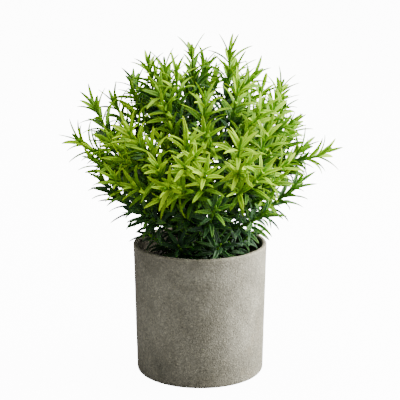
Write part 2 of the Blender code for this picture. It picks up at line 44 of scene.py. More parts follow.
# ------------------------------------------------------------------ the design's own numbers
POT_H = 88.0 * MM
POT_R_TOP = 44.0 * MM
POT_R_FOOT = 42.07 * MM
POT_WALL = 3.0 * MM
POT_FLOOR = 3.5 * MM
FOOT_ROUND = 2.6 * MM
GAP = 0.3 * MM
FOAM_TOP = 70.0 * MM
SOIL_TOP = 74.6 * MM
PICK_R = 2.6 * MM
COLLAR_R = 7.6 * MM
COLLAR_LOW = 75.2 * MM
COLLAR_TOP = 79.0 * MM
ROOT_R = 5.2 * MM
ROOT_Z = 80.2 * MM
FORK_R0 = 1.35 * MM
FORK_R1 = 0.95 * MM
SPRIG_R0 = 1.55 * MM
SPRIG_R1 = 0.75 * MM

FORKS = [
    ("w", 180, (-34, -3, 128)),
    ("nw", 135, (-22, 20, 142)),
    ("n", 90, (-1, 32, 138)),
    ("ne", 45, (22, 19, 140)),
    ("e", 0, (35, -3, 132)),
    ("se", 315, (19, -21, 130)),
    ("s", 270, (-3, -29, 126)),
    ("sw", 225, (-21, -20, 132)),
]

# name, stem, place along it, tip in mm, forward turn of the tip, tone (0 old and dark, 1 young and bright)
SPRIGS = [
    ("w_1", "w", 1.00, (-78, -12, 159), 0.0, 0.82),
    ("w_2", "w", 0.80, (-69, 10, 177), 0.0, 0.70),
    ("w_3", "w", 0.55, (-61, -17, 132), 0.0, 0.42),
    ("w_4", "w", 0.66, (-46, 4, 160), 0.0, 0.62),
    ("w_5", "w", 0.90, (-67, -15, 146), 0.0, 0.70),
    ("nw_1", "nw", 0.80, (-57, 33, 175), 0.0, 0.55),
    ("nw_2", "nw", 1.00, (-44, 38, 188), 0.0, 0.35),
    ("nw_3", "nw", 0.90, (-34, 22, 202), 0.0, 0.70),
    ("nw_4", "nw", 0.70, (-23, 14, 203), 0.0, 0.75),
    ("nw_5", "nw", 0.50, (-66, 46, 135), 0.0, 0.50),
    ("n_1", "n", 0.80, (-5, 17, 211), 0.0, 0.60),
    ("n_2", "n", 1.00, (-12, 50, 186), 0.0, 0.65),
    ("n_3", "n", 0.85, (15, 66, 167), 0.0, 0.70),
    ("n_4", "n", 0.55, (-9, 74, 129), 0.0, 0.60),
    ("n_5", "n", 0.68, (4, 32, 197), 0.0, 0.70),
    ("ne_1", "ne", 1.00, (24, 32, 199), 0.0, 0.75),
    ("ne_2", "ne", 0.85, (54, 35, 185), 0.0, 0.76),
    ("ne_3", "ne", 0.70, (41, 22, 186), 0.0, 0.74),
    ("ne_4", "ne", 0.50, (69, 40, 142), 0.0, 0.75),
    ("ne_5", "ne", 0.92, (34, 46, 176), 0.0, 0.70),
    ("e_1", "e", 1.00, (81, 0, 148), 0.0, 0.82),
    ("e_2", "e", 0.85, (48, -7, 180), 0.0, 0.78),
    ("e_3", "e", 0.60, (19, 3, 212), 0.0, 0.78),
    ("e_4", "e", 0.52, (62, -17, 131), 0.0, 0.62),
    ("e_5", "e", 0.72, (60, 8, 164), 0.0, 0.72),
    ("se_1", "se", 1.00, (25, -45, 163), 0.0, 1.00),
    ("se_2", "se", 0.80, (24, -20, 194), 0.0, 0.85),
    ("se_3", "se", 0.48, (40, -43, 118), 0.0, 0.52),
    ("se_4", "se", 0.65, (42, -32, 167), 0.0, 0.84),
    ("se_5", "se", 0.90, (39, -48, 146), 0.2, 0.90),
    ("s_1", "s", 0.82, (-8, -43, 166), 0.0, 0.97),
    ("s_2", "s", 1.00, (-20, -58, 138), 0.9, 1.00),
    ("s_3", "s", 0.70, (3, -23, 187), 0.0, 0.80),
    ("s_4", "s", 0.52, (9, -55, 124), 0.3, 0.50),
    ("s_5", "s", 0.92, (3, -60, 147), 0.8, 0.95),
    ("sw_1", "sw", 1.00, (-45, -33, 169), 0.0, 0.92),
    ("sw_2", "sw", 0.75, (-15, -13, 202), 0.0, 0.80),
    ("sw_3", "sw", 0.48, (-33, -41, 117), 0.0, 0.36),
    ("sw_4", "sw", 0.85, (-30, -39, 159), 0.0, 0.90),
    ("sw_5", "sw", 0.66, (-53, -38, 139), 0.2, 0.75),
]

FOOT_SPRIGS = [
    ("foot_1", 202, 35, 96),
    ("foot_2", 247, 34, 93),
    ("foot_3", 292, 34, 94),
    ("foot_4", 337, 36, 97),
    ("foot_5", 67, 35, 98),
]


# ------------------------------------------------------------------ plain vectors and lines
def vec(*p):
    return np.array(p, dtype=float)


def unit(v):
    return v / max(float(np.linalg.norm(v)), 1e-12)


def bezier(p0, p1, p2, p3, n):
    t = np.linspace(0.0, 1.0, n)[:, None]
    return (1 - t) ** 3 * p0 + 3 * t * (1 - t) ** 2 * p1 + 3 * t * t * (1 - t) * p2 + t**3 * p3


def steps(points):
    return np.concatenate([[0.0], np.cumsum(np.linalg.norm(np.diff(points, axis=0), axis=1))])


def even(points, n):
    d = steps(points)
    s = np.linspace(0.0, d[-1], n)
    return np.stack([np.interp(s, d, points[:, k]) for k in range(3)], axis=1)


def length(points):
    return float(steps(points)[-1])


def at(points, s):
    d = steps(points)
    s = min(max(s, 0.0), float(d[-1]))
    p = vec(*[np.interp(s, d, points[:, k]) for k in range(3)])
    a = vec(*[np.interp(max(s - 0.0015, 0.0), d, points[:, k]) for k in range(3)])
    b = vec(*[np.interp(min(s + 0.0015, d[-1]), d, points[:, k]) for k in range(3)])
    return p, unit(b - a)


def cross_axis(t, side):
    w = side - t * float(np.dot(side, t))
    if np.linalg.norm(w) < 1e-6:
        w = np.cross(t, vec(0.3, 0.9, 0.1))
    return unit(w)


def smooth(x, a, b):
    x = min(max((x - a) / (b - a), 0.0), 1.0)
    return x * x * (3 - 2 * x)


def fork_line(azimuth, top):
    a = math.radians(azimuth)
    out = vec(math.cos(a), math.sin(a), 0.0)
    p0 = out * ROOT_R + vec(0, 0, ROOT_Z)
    p3 = vec(*top) * MM
    reach = np.linalg.norm(p3 - p0)
    d0 = unit(out * 0.62 + vec(0, 0, 1.0))
    d1 = unit(unit(p3 - p0) * 0.9 + vec(0, 0, 0.35))
    return even(bezier(p0, p0 + d0 * reach * 0.36, p3 - d1 * reach * 0.3, p3, 60), 60)


def sprig_line(start, direction, tip, rise, forwards):
    reach = np.linalg.norm(tip - start)
    d1 = unit(unit(tip - start) + vec(0, -forwards, rise * (1.0 - forwards)))
    return even(bezier(start, start + direction * reach * 0.34, tip - d1 * reach * 0.3, tip, 60), 60)


def plant():
    forks, lines = {}, []
    for name, azimuth, top in FORKS:
        forks[name] = fork_line(azimuth, top)
    for name, azimuth, top in FORKS:
        line = forks[name]
        total = length(line)
        pegs = []
        for sprig, owner, place, tip, forwards, tone in SPRIGS:
            if owner != name:
                continue
            tip = vec(*tip) * MM
            p, t = at(line, total * place)
            if place >= 0.999:
                direction = t
                start = p + t * GAP
            else:
                aim = unit(tip - p)
                side = cross_axis(t, aim)
                direction = unit(aim * 0.75 + side * 0.75)
                start = p + side * (FORK_R0 + 0.9 * MM) + direction * 0.9 * MM
            pegs.append((place, p, direction))
            lines.append(("sprig_" + sprig, "fork_" + name, "sprig", sprig_line(start, direction, tip, 0.35, forwards), tone, []))
        lines.append(("fork_" + name, "fork_" + name, "fork", line, 0.2, pegs))
    for sprig, azimuth, radius, height in FOOT_SPRIGS:
        a = math.radians(azimuth)
        out = vec(math.cos(a), math.sin(a), 0.0)
        start = out * (COLLAR_R + 0.5 * MM) + vec(0, 0, (COLLAR_LOW + COLLAR_TOP) / 2)
        tip = out * radius * MM + vec(0, 0, height * MM)
        line = even(bezier(start, start + out * 7 * MM, tip - unit(out + vec(0, 0, 0.9)) * 9 * MM, tip, 60), 60)
        lines.append(("sprig_" + sprig, "bush", "foot", line, 0.22, []))
    return lines


# ------------------------------------------------------------------ mesh gathering
class Cloth:
    """Gathers vertices, faces and per-vertex values, and makes one mesh of them."""

    def __init__(self):
        self.v, self.f, self.n = [], [], 0
        self.a = {"tone": [], "along": [], "across": [], "grain": [], "side": []}

    def add(self, verts, faces, **values):
        verts = np.asarray(verts, float)
        self.v.append(verts)
        for face in faces:
            self.f.append([i + self.n for i in face])
        self.n += len(verts)
        for k in self.a:
            x = values.get(k, 0.0)
            self.a[k].append(np.broadcast_to(np.asarray(x, float), (len(verts),)))

    def make(self, name, materials, smooth_shade=True):
        me = bpy.data.meshes.new(name)
        me.from_pydata(np.concatenate(self.v).tolist(), [], self.f)
        me.update()
        for k, chunks in self.a.items():
            at_ = me.attributes.new(k, "FLOAT", "POINT")
            at_.data.foreach_set("value", np.concatenate(chunks).astype(np.float32))
        for m in materials:
            me.materials.append(m)
        ob = bpy.data.objects.new(name, me)
        bpy.context.scene.collection.objects.link(ob)
        if smooth_shade:
            me.shade_smooth()
        return ob


COLS = np.array([-1.0, -0.66, -0.30, -0.10, 0.0, 0.10, 0.30, 0.66, 1.0])
STATIONS = np.array([0.0, 0.07, 0.17, 0.29, 0.42, 0.55, 0.68, 0.80, 0.90, 0.965])


def leaf(cloth, rng, p, t, n, size, width, lift, curl, tone, grain):
    """One moulded leaf: narrow foot, widest a little before the middle, pointed, folded along a grooved midrib, curling outwards."""
    w = unit(np.cross(t, n))
    sway = rng.uniform(-0.16, 0.16)
    twist = rng.uniform(-0.35, 0.35)
    fold = rng.uniform(0.40, 0.66)
    m = 33
    ss = np.linspace(0, 1, m)
    theta = lift + curl * ss**1.25
    d = np.cos(theta)[:, None] * t + np.sin(theta)[:, None] * n + (sway * ss)[:, None] * w
    d = d / np.linalg.norm(d, axis=1)[:, None]
    spine = p + np.concatenate([[np.zeros(3)], np.cumsum((d[1:] + d[:-1]) / 2, axis=0)]) * (size / (m - 1))
    rows = []
    verts, along, across, side = [], [], [], []
    for s in STATIONS:
        i = min(int(round(s * (m - 1))), m - 1)
        P, D = spine[i], d[i]
        u = unit(np.cross(D, w))
        if np.dot(u, t) < 0:
            u = -u
        W = unit(np.cross(u, D)) if np.dot(np.cross(u, D), w) > 0 else unit(np.cross(D, u))
        a = twist * s
        W, u = W * math.cos(a) + u * math.sin(a), u * math.cos(a) - W * math.sin(a)
        shape = min(1.0, 0.30 + 0.70 * smooth(s, 0.0, 0.36)) * (1.0 - s**3.0) ** 0.70
        half = width * 0.5 * max(shape, 0.16)
        thick = (0.30 * (1 - s) + 0.17) * MM
        ring = []
        rise = fold * half * (1.0 - 0.35 * s)
        for v in COLS:
            groove = -0.16 * MM * math.exp(-((v / 0.09) ** 2)) * (1 - s) ** 0.5
            roll = -0.28 * half * max(0.0, abs(v) - 0.55) ** 1.5
            h = rise * (abs(v) ** 0.9) + groove + roll
            edge = 1.0 - 0.75 * abs(v) ** 3
            ring.append((P + W * v * half + u * (h + thick * 0.5 * edge), v, 1.0))
        for v in COLS[-2:0:-1]:
            rib = 0.20 * MM * math.exp(-((v / 0.16) ** 2)) * (1 - s) ** 0.4
            roll = -0.28 * half * max(0.0, abs(v) - 0.55) ** 1.5
            h = rise * (abs(v) ** 0.9) + roll
            edge = 1.0 - 0.75 * abs(v) ** 3
            ring.append((P + W * v * half + u * (h - thick * 0.5 * edge - rib), v, 0.0))
        base = len(verts)
        for q, v, sd in ring:
            verts.append(q)
            along.append(s)
            across.append(v)
            side.append(sd)
        rows.append(list(range(base, base + len(ring))))
    verts.append(spine[-1])
    along.append(1.0)
    across.append(0.0)
    side.append(0.5)
    tip = len(verts) - 1
    faces = [list(reversed(rows[0]))]
    k = len(rows[0])
    for a_, b_ in zip(rows[:-1], rows[1:]):
        for j in range(k):
            faces.append([a_[j], a_[(j + 1) % k], b_[(j + 1) % k], b_[j]])
    for j in range(k):
        faces.append([rows[-1][j], rows[-1][(j + 1) % k], tip])
    verts = np.array(verts)
    # turn the shell the right way out
    q = verts[faces[1][0]], verts[faces[1][1]], verts[faces[1][2]]
    nf = np.cross(q[1] - q[0], q[2] - q[0])
    if np.dot(nf, (q[0] + q[1]) / 2 - spine[0]) < 0:
        faces = [list(reversed(f)) for f in faces]
    cloth.add(verts, faces, tone=tone, along=np.array(along), across=np.array(across), grain=grain, side=np.array(side))


def tube(cloth, line, radii, places, sides, tone, grain, cap=True):
    """A stem: rings at the given places with the given radii."""
    u = None
    rows, verts = [], []
    for s, r in zip(places, radii):
        p, t = at(line, s)
        if s > length(line):
            p = p + t * (s - length(line))
        u = cross_axis(t, u if u is not None else (vec(0.31, 0.17, 1.0) if abs(t[2]) < 0.9 else vec(1.0, 0.2, 0.1)))
        v = np.cross(t, u)
        base = len(verts)
        for k in range(sides):
            a = 2 * math.pi * k / sides
            verts.append(p + (u * math.cos(a) + v * math.sin(a)) * r)
        rows.append(list(range(base, base + sides)))
    faces = []
    for a_, b_ in zip(rows[:-1], rows[1:]):
        for j in range(sides):
            faces.append([a_[j], a_[(j + 1) % sides], b_[(j + 1) % sides], b_[j]])
    if cap:
        faces.append(list(reversed(rows[0])))
        faces.append(list(rows[-1]))
    along = np.repeat(np.array(places) / max(places[-1], 1e-9), sides)
    cloth.add(np.array(verts), faces, tone=tone, along=along, across=0.0, grain=grain, side=2.0)


def radius_at(kind, f):
    if kind == "fork":
        return FORK_R0 + (FORK_R1 - FORK_R0) * f
    if kind == "foot":
        return 1.1 * MM + (0.7 - 1.1) * MM * f
    return SPRIG_R0 * 0.88 + (SPRIG_R1 - SPRIG_R0 * 0.88) * min(1.0, f * 1.25)


def whorls(kind, total, rng):
    """Whorls from the tip down: place, number of leaves, size, lift and curl."""
    out = []
    if kind in ("sprig", "shoot"):
        out.append((total - 0.8 * MM, rng.choice((2, 2, 3)), rng.uniform(0.74, 0.90), math.radians(rng.uniform(17, 30)), math.radians(16)))
        out.append((total - 5.4 * MM, 4, rng.uniform(0.90, 1.02), math.radians(rng.uniform(30, 42)), math.radians(34)))
        s = total - rng.uniform(11.5, 13.5) * MM
        while s > (6.0 if kind == "sprig" else 4.0) * MM:
            out.append((s, 4, rng.uniform(0.92, 1.12), math.radians(rng.uniform(30, 48)), math.radians(rng.uniform(20, 52))))
            s -= rng.uniform(5.2, 6.8) * MM
    elif kind == "fork":
        s = total * 0.92
        while s > total * 0.16:
            out.append((s, 4, rng.uniform(0.8, 1.0), math.radians(rng.uniform(46, 66)), math.radians(rng.uniform(20, 40))))
            s -= rng.uniform(4.6, 6.0) * MM
    else:
        s = total - 0.8 * MM
        out.append((s, 5, 0.80, math.radians(40), math.radians(34)))
        s -= 4.5 * MM
        while s > 5.0 * MM:
            out.append((s, 5, rng.uniform(0.8, 1.05), math.radians(rng.uniform(42, 62)), math.radians(rng.uniform(25, 50))))
            s -= rng.uniform(5.0, 6.5) * MM
    return out


def pot_clear(p, size, d):
    """True where a leaf of this size and direction stays out of the pot's wall and filling."""
    inner, outer = POT_R_TOP - POT_WALL, POT_R_TOP
    for f in (0.25, 0.5, 0.75, 1.0):
        q = p + d * size * f
        r = math.hypot(q[0], q[1])
        if q[2] < POT_H + 1.4 * MM and inner - 1.6 * MM < r < outer + 1.6 * MM:
            return False
        if r < inner and q[2] < SOIL_TOP + 1.2 * MM:
            return False
    return True


TRAVEL = {"w": 8.0, "nw": 10.0, "n": 12.0, "ne": 10.0, "e": 8.0, "se": 9.0, "s": 9.0, "sw": 9.0}
INWARD = 3.0


def bend_maps():
    """For each main stem, the turn about its hinge at its inward and its outward limit."""
    out = {}
    for name, azimuth, _ in FORKS:
        a = math.radians(azimuth)
        pivot = vec(math.cos(a) * ROOT_R, math.sin(a) * ROOT_R, ROOT_Z)
        k = vec(-math.sin(a), math.cos(a), 0.0)
        K = np.array([[0, -k[2], k[1]], [k[2], 0, -k[0]], [-k[1], k[0], 0]])
        for state, angle in ((1, -INWARD), (2, TRAVEL[name])):
            t = math.radians(angle)
            R = np.eye(3) + math.sin(t) * K + (1 - math.cos(t)) * (K @ K)
            out["fork_" + name, state] = (R, pivot - R @ pivot)
    return out


class Crowd:
    """Small balls along every stem and leaf, at rest and at both limits of every bend, so that a new leaf finds a free direction in all of them."""

    CELL = 4.0 * MM

    def __init__(self):
        self.cells = ({}, {}, {})
        self.maps = bend_maps()

    def moved(self, p, body, state):
        m = self.maps.get((body, state))
        return p if m is None else m[0] @ p + m[1]

    def key(self, p):
        return int(math.floor(p[0] / self.CELL)), int(math.floor(p[1] / self.CELL)), int(math.floor(p[2] / self.CELL))

    def put(self, p, r, owner, body):
        for state in (0, 1, 2):
            q = self.moved(p, body, state)
            self.cells[state].setdefault(self.key(q), []).append((float(q[0]), float(q[1]), float(q[2]), r, owner, body))

    def clear(self, state, p, r, owner, body):
        i, j, k = self.key(p)
        px, py, pz = float(p[0]), float(p[1]), float(p[2])
        cells = self.cells[state]
        for a in (i - 1, i, i + 1):
            for b in (j - 1, j, j + 1):
                for c in (k - 1, k, k + 1):
                    for x, y, z, q, o, w in cells.get((a, b, c), ()):
                        if (o != owner and w != body) and (x - px) ** 2 + (y - py) ** 2 + (z - pz) ** 2 < (q + r) ** 2:
                            return False
        return True

    def free(self, p, r, owner, body=None):
        """At rest, clear of all but its owner. Bent, clear of every other body."""
        if not self.clear(0, p, r, owner, None):
            return False
        if body is None:
            return True
        for state in (1, 2):
            q = self.moved(p, body, state)
            if not (self.clear(0, q, r + 0.3 * MM, None, body) and self.clear(state, q, r + 0.2 * MM, None, body) and self.clear(state, p, r + 0.3 * MM, None, body)):
                return False
        return True


CROWD = Crowd()


def clear_of_pot_when_bent(root, L, way, body):
    """The leaf misses the pot at rest and with its stem bent right out."""
    if not pot_clear(root, L, way):
        return False
    m = CROWD.maps.get((body, 2))
    return m is None or pot_clear(m[0] @ root + m[1], L, m[0] @ way)


def leaf_balls(root, t, n, L, lift, curl, W):
    out, p = [], root
    for i in range(1, 9):
        th = lift + curl * ((i - 0.5) / 8.0) ** 1.25
        p = p + (t * math.cos(th) + n * math.sin(th)) * (L / 8.0)
        if i >= 3:
            out.append((p, 0.30 * W if i < 7 else 0.16 * W))
    return out


def stem_and_leaves(cloth, kind, line, tone, rng, index, owner, body):
    """One stem with its bud and whorls of leaves, gathered into the cloth."""
    total = length(line)
    rings = whorls(kind, total, rng)
    places, radii = [], []
    stops = sorted(s for s, *_ in rings)
    top = total + {"sprig": 6.0 * MM, "shoot": 4.6 * MM, "foot": 3.0 * MM, "fork": 0.0}[kind]
    thin = 0.72 if kind == "shoot" else 1.0
    marks = set(np.round(np.linspace(0, total, max(12, int(total / (2.2 * MM)))), 6).tolist())
    for s in stops:
        for k in (-1.4, -0.7, 0.0, 0.7, 1.4):
            marks.add(round(s + k * MM, 6))
    for s in sorted(m_ for m_ in marks if 0 <= m_ <= total):
        r = radius_at("sprig" if kind == "shoot" else kind, s / total) * thin
        near = min((abs(s - q) for q in stops), default=1.0)
        r *= 1.0 + 0.42 * math.exp(-((near / (0.9 * MM)) ** 2))
        places.append(s)
        radii.append(r)
    if kind != "fork":
        # the blunt dark bud that the stem ends in
        r = SPRIG_R1 * (1.12 if kind == "sprig" else 0.95)
        for f, k in ((0.15, 0.85), (0.4, 1.0), (0.7, 1.0), (0.9, 0.74), (1.0, 0.25)):
            places.append(total + (top - total) * f)
            radii.append(r * k)
    else:
        places.append(total + 0.2 * MM)
        radii.append(radii[-1] * 0.6)
    tube(cloth, line, radii, places, 10, tone * 0.25, rng.random())
    count = 0
    for i, (s, number, size, lift, curl) in enumerate(rings):
        p, t = at(line, s)
        u = cross_axis(t, vec(0.31, 0.17, 1.0) if abs(t[2]) < 0.9 else vec(1.0, 0.2, 0.1))
        v = np.cross(t, u)
        turn = i * math.pi / number + rng.uniform(-0.25, 0.25) + index
        # young and bright towards the tip, darker down the stem; leaves low in the bush are darkened further by their
        # height, which is painted shade under the canopy
        age = 1.0 - smooth((total - s) / MM, 5.0, 36.0)
        shade_by_height = smooth(p[2] / MM, 84.0, 150.0)
        for k in range(number):
            base = turn + 2 * math.pi * k / number
            for go in range(9):
                a = base + rng.uniform(-0.16, 0.16) * (1 + 0.7 * go)
                n = u * math.cos(a) + v * math.sin(a)
                root = p + n * radius_at("sprig" if kind == "shoot" else kind, s / total) * thin * 0.55
                L = 17.6 * MM * size * rng.uniform(0.9, 1.1) * (0.94 if kind == "shoot" else 1.0) * (1.0 - 0.035 * go)
                W = 3.35 * MM * (0.78 + 0.22 * size) * rng.uniform(0.88, 1.10)
                if i == 0:
                    W *= 0.84
                tilt = lift + rng.uniform(-0.10, 0.10) * (1 + 0.6 * go)
                bend = curl * rng.uniform(0.75, 1.3)
                th = tilt + bend * 0.6
                way = t * math.cos(th) + n * math.sin(th)
                if not clear_of_pot_when_bent(root, L, way, body):
                    L *= 0.66
                    if not clear_of_pot_when_bent(root, L, way, body):
                        continue
                balls = leaf_balls(root, t, n, L, tilt, bend, W)
                if all(CROWD.free(q, r, owner if j < 2 else None, body) for j, (q, r) in enumerate(balls)):
                    break
            else:
                continue
            for q, r in balls:
                CROWD.put(q, r, (owner, i, k), body)
            # the height factor is painted shade low in the bush; the rest is the leaf's own tone and age
            tt = (0.20 + 0.83 * age) * tone * (0.35 + 0.65 * shade_by_height) + rng.uniform(-0.14, 0.14)
            leaf(cloth, rng, root, t, n, L, W, tilt, bend, min(max(tt, 0.0), 1.0), rng.random())
            count += 1
    return count


def shoots(kind, line, rng, name, body):
    """Side shoots of the longer sprigs: lines that leave the stem at an angle and turn up to the light."""
    out, total = [], length(line)
    if kind == "foot" or total < 34.0 * MM:
        return out
    spots = [0.28, 0.48, 0.66] if total < 62.0 * MM else [0.20, 0.36, 0.52, 0.68]
    if kind == "fork":
        spots = [0.30, 0.44, 0.58, 0.72, 0.86]
    first = rng.uniform(0, 2 * math.pi)
    for i, f in enumerate(spots):
        s = total * (f + rng.uniform(-0.04, 0.04))
        p, t = at(line, s)
        u = cross_axis(t, vec(0.31, 0.17, 1.0) if abs(t[2]) < 0.9 else vec(1.0, 0.2, 0.1))
        v = np.cross(t, u)
        best = None
        for go in range(12):
            a = first + i * 2.4 + go * 0.53
            n = u * math.cos(a) + v * math.sin(a)
            reach = rng.uniform(19.0, 27.0) * MM
            d = unit(t * 0.70 + n * 0.72)
            tip = p + d * reach + vec(0, 0, 2.5) * MM
            # away from the pot's axis and from what stands there already
            score = math.hypot(tip[0], tip[1]) * 0.6 + (0.01 if CROWD.free(tip, 5.0 * MM, None) else 0.0)
            if kind == "fork":
                score = (0.01 if CROWD.free(tip, 6.0 * MM, None) else 0.0) + 0.004 * rng.random()
                if tip[2] < 98 * MM or math.hypot(tip[0], tip[1]) > min(46 * MM, 30 * MM + (tip[2] - 96 * MM) * 0.8):
                    score -= 1.0
            elif tip[2] < 104 * MM or math.hypot(tip[0], tip[1]) > min(62 * MM, 30 * MM + (tip[2] - 96 * MM) * 0.8) or tip[2] > line[-1][2] - 9 * MM:
                score -= 1.0
            reach = np.linalg.norm(tip - p)
            end = unit(unit(tip - p) + vec(0, 0, 0.35))
            branch = even(bezier(p, p + d * reach * 0.34, tip - end * reach * 0.3, tip, 40), 40)
            if not all(CROWD.free(at(branch, x)[0], 0.9 * MM, name, body) for x in np.arange(3.0 * MM, length(branch), 2.4 * MM)):
                score -= 2.0
            if best is None or score > best[0]:
                best = (score, branch)
        if best[0] > -0.5:
            out.append(best[1])
    return out


def build_line(name, body, kind, line, tone, mats, index, side_shoots):
    rng = random.Random(1000 + index * 17)
    cloth = Cloth()
    count = stem_and_leaves(cloth, kind, line, tone, rng, index, name, body)
    for k, branch in enumerate(side_shoots):
        shade = 0.42 if kind == "fork" else tone
        count += stem_and_leaves(cloth, "shoot", branch, shade * rng.uniform(0.8, 1.0), rng, index + 0.7 * k, name + str(k), body)
    ob = cloth.make(name + "_foliage", mats)
    return ob, count


# ------------------------------------------------------------------ node helpers
class Nodes:
    def __init__(self, name):
        self.m = bpy.data.materials.new(name)
        self.m.use_nodes = True
        self.t = self.m.node_tree
        self.t.nodes.clear()
        self.out = self.t.nodes.new("ShaderNodeOutputMaterial")
        self.b = self.t.nodes.new("ShaderNodeBsdfPrincipled")
        self.t.links.new(self.b.outputs[0], self.out.inputs["Surface"])

    def new(self, kind, **props):
        n = self.t.nodes.new(kind)
        for k, v in props.items():
            setattr(n, k, v)
        return n

    def put(self, socket, value):
        if isinstance(value, bpy.types.NodeSocket):
            self.t.links.new(value, socket)
        else:
            socket.default_value = value

    def attr(self, name):
        n = self.new("ShaderNodeAttribute", attribute_name=name)
        return n.outputs["Fac"]

    def coords(self):
        return self.new("ShaderNodeTexCoord").outputs["Object"]

    def noise(self, vector, scale, detail=4.0, rough=0.55, out="Fac", distortion=0.0):
        n = self.new("ShaderNodeTexNoise")
        self.put(n.inputs["Vector"], vector)
        n.inputs["Scale"].default_value = scale
        n.inputs["Detail"].default_value = detail
        n.inputs["Roughness"].default_value = rough
        n.inputs["Distortion"].default_value = distortion
        return n.outputs[out]

    def voronoi(self, vector, scale, feature="F1", out="Distance", randomness=1.0):
        n = self.new("ShaderNodeTexVoronoi", feature=feature)
        self.put(n.inputs["Vector"], vector)
        n.inputs["Scale"].default_value = scale
        n.inputs["Randomness"].default_value = randomness
        return n.outputs[out]

    def math(self, op, a, b=0.0, c=0.0, clamp=False):
        n = self.new("ShaderNodeMath", operation=op, use_clamp=clamp)
        self.put(n.inputs[0], a)
        self.put(n.inputs[1], b)
        self.put(n.inputs[2], c)
        return n.outputs[0]

    def span(self, x, a, b, c=0.0, d=1.0, smooth_=False):
        n = self.new("ShaderNodeMapRange", interpolation_type="SMOOTHSTEP" if smooth_ else "LINEAR", clamp=True)
        self.put(n.inputs["Value"], x)
        for k, v in zip(("From Min", "From Max", "To Min", "To Max"), (a, b, c, d)):
            n.inputs[k].default_value = v
        return n.outputs["Result"]

    def ramp(self, x, *stops):
        n = self.new("ShaderNodeValToRGB")
        self.put(n.inputs[0], x)
        e = n.color_ramp.elements
        while len(e) > 1:
            e.remove(e[-1])
        e[0].position, e[0].color = stops[0][0], (*stops[0][1], 1)
        for pos, col in stops[1:]:
            s = e.new(pos)
            s.color = (*col, 1)
        return n.outputs["Color"]

    def mix(self, f, a, b, blend="MIX"):
        n = self.new("ShaderNodeMix", data_type="RGBA", blend_type=blend)
        self.put(n.inputs[0], f)
        for socket, value in ((n.inputs[6], a), (n.inputs[7], b)):
            self.put(socket, (*value, 1) if isinstance(value, tuple) and len(value) == 3 else value)
        return n.outputs[2]

    def bump(self, height, strength, distance, normal=None):
        n = self.new("ShaderNodeBump")
        self.put(n.inputs["Height"], height)
        n.inputs["Strength"].default_value = strength
        n.inputs["Distance"].default_value = distance
        if normal is not None:
            self.put(n.inputs["Normal"], normal)
        return n.outputs["Normal"]

    def set(self, **values):
        for k, v in values.items():
            self.put(self.b.inputs[k.replace("_", " ")], v)


def leaf_material():
    m = Nodes("leaf_pe")
    co = m.coords()
    tone, along, across, grain, side = (m.attr(k) for k in ("tone", "along", "across", "grain", "side"))
    cloud = m.noise(co, 120.0, 3.0)
    fleck = m.noise(co, 900.0, 2.0)
    drive = m.math("ADD", tone, m.span(along, 0.0, 1.0, -0.10, 0.10))
    drive = m.math("ADD", drive, m.span(cloud, 0.3, 0.7, -0.07, 0.07))
    drive = m.math("ADD", drive, m.span(fleck, 0.3, 0.7, -0.025, 0.025), clamp=True)
    colour = m.ramp(
        drive,
        (0.0, (0.018, 0.046, 0.020)),
        (0.22, (0.036, 0.098, 0.027)),
        (0.48, (0.086, 0.208, 0.013)),
        (0.75, (0.205, 0.390, 0.006)),
        (1.0, (0.345, 0.545, 0.005)),
    )
    # each leaf leans a little to yellow or to blue green
    colour = m.mix(m.span(grain, 0.0, 1.0, 0.0, 0.35), colour, m.mix(1.0, colour, (0.84, 1.0, 1.0), "MULTIPLY"))
    # pale midrib
    rib = m.math("MULTIPLY", m.span(m.math("ABSOLUTE", across), 0.0, 0.14, 1.0, 0.0, True), m.span(along, 0.0, 0.95, 0.55, 0.0))
    colour = m.mix(m.math("MULTIPLY", rib, 0.30), colour, m.mix(1.0, colour, (1.5, 1.35, 1.1), "MULTIPLY"))
    # paler, greyer underside; stems keep their own deep green
    under = m.math("MULTIPLY", m.span(side, 0.0, 0.5, 1.0, 0.0), 0.35)
    colour = m.mix(under, colour, m.mix(1.0, colour, (1.1, 1.05, 1.3), "MULTIPLY"))
    stem = m.span(side, 1.4, 1.9, 0.0, 1.0)
    stalk = m.ramp(m.math("ADD", m.math("MULTIPLY", cloud, 0.5), m.math("MULTIPLY", along, 0.5)),
                   (0.0, (0.008, 0.030, 0.008)), (0.40, (0.034, 0.120, 0.010)), (0.85, (0.130, 0.320, 0.006)))
    colour = m.mix(stem, colour, stalk)
    veins = m.new("ShaderNodeTexWave", wave_type="BANDS", bands_direction="X", wave_profile="SIN")
    comb = m.new("ShaderNodeCombineXYZ")
    # side veins run forward from the midrib
    m.put(comb.inputs[0], m.math("ADD", m.math("MULTIPLY", along, 9.0), m.math("MULTIPLY", m.math("ABSOLUTE", across), -2.2)))
    m.put(veins.inputs["Vector"], comb.outputs[0])
    veins.inputs["Scale"].default_value = 1.0
    height = m.math("ADD", m.math("MULTIPLY", veins.outputs["Fac"], 0.5), m.math("MULTIPLY", fleck, 0.6))
    rough = m.span(cloud, 0.25, 0.75, 0.36, 0.52)
    m.set(Base_Color=colour, Roughness=rough, Normal=m.bump(height, 0.35, 0.00018))
    m.b.inputs["Specular IOR Level"].default_value = 0.12
    m.b.inputs["Subsurface Weight"].default_value = 0.12
    m.b.inputs["Subsurface Radius"].default_value = (0.6, 1.0, 0.2)
    m.b.inputs["Subsurface Scale"].default_value = 0.0015
    return m.m


